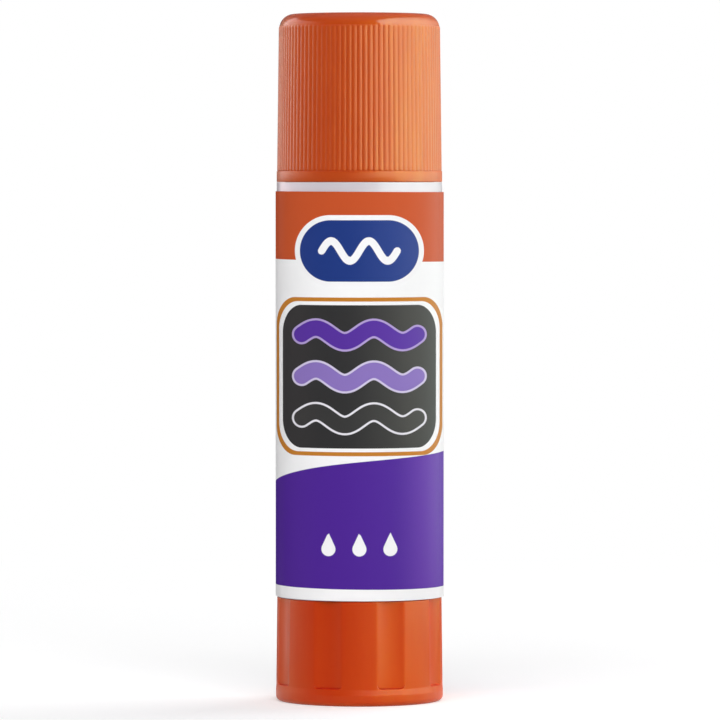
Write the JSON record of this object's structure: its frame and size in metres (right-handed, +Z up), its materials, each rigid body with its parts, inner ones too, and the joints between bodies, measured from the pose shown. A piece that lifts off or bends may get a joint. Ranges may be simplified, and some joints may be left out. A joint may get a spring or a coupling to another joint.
{
  "type": "glue stick",
  "caption": "Twist-up glue stick: ribbed push-on cap, labelled tube, fluted turning base, and inside it a coarse screw, a carrier and a cast stick of violet glue.",
  "frame": {"origin": "centre of the foot ring's underside, on the stick's axis, where the stick stands", "axes": "+Z up along the stick's axis towards the cap; -Y is the side with the front of the label, which faces the camera in the picture; +X is to the right in that view"},
  "size_m": [0.0252, 0.0252, 0.103],
  "materials": {
    "orange_polypropylene": "moulded polypropylene, satin to glossy",
    "white_polypropylene": "moulded polypropylene, satin",
    "printed_film": "printed plastic film, satin varnish",
    "violet_glue": "waxy cast glue"
  },
  "bodies": {
    "barrel_body": {"barrel": "white_polypropylene", "label": "printed_film"},
    "base_and_screw": {"turning_base": "orange_polypropylene", "spindle": "white_polypropylene"},
    "carrier_and_glue": {"carrier": "white_polypropylene", "glue": "violet_glue"},
    "cap_body": {"cap": "orange_polypropylene"}
  },
  "joints": [
    {"name": "base_turn", "type": "hinge", "parent": "barrel_body", "child": "base_and_screw", "pos_m": [0, 0, 0.0156], "axis": [0, 0, 1], "range_deg": [0, 3240]},
    {"name": "glue_rise", "type": "slide", "parent": "barrel_body", "child": "carrier_and_glue", "axis": [0, 0, 1], "range_m": [0, 0.054]},
    {"name": "cap_pull", "type": "slide", "parent": "carrier_and_glue", "child": "cap_body", "axis": [0, 0, 1], "range_m": [0, 0.045]}
  ],
  "couplings": [
    {"joint": "glue_rise", "follows": "base_turn", "m_per_rad": 0.00095492}
  ]
}
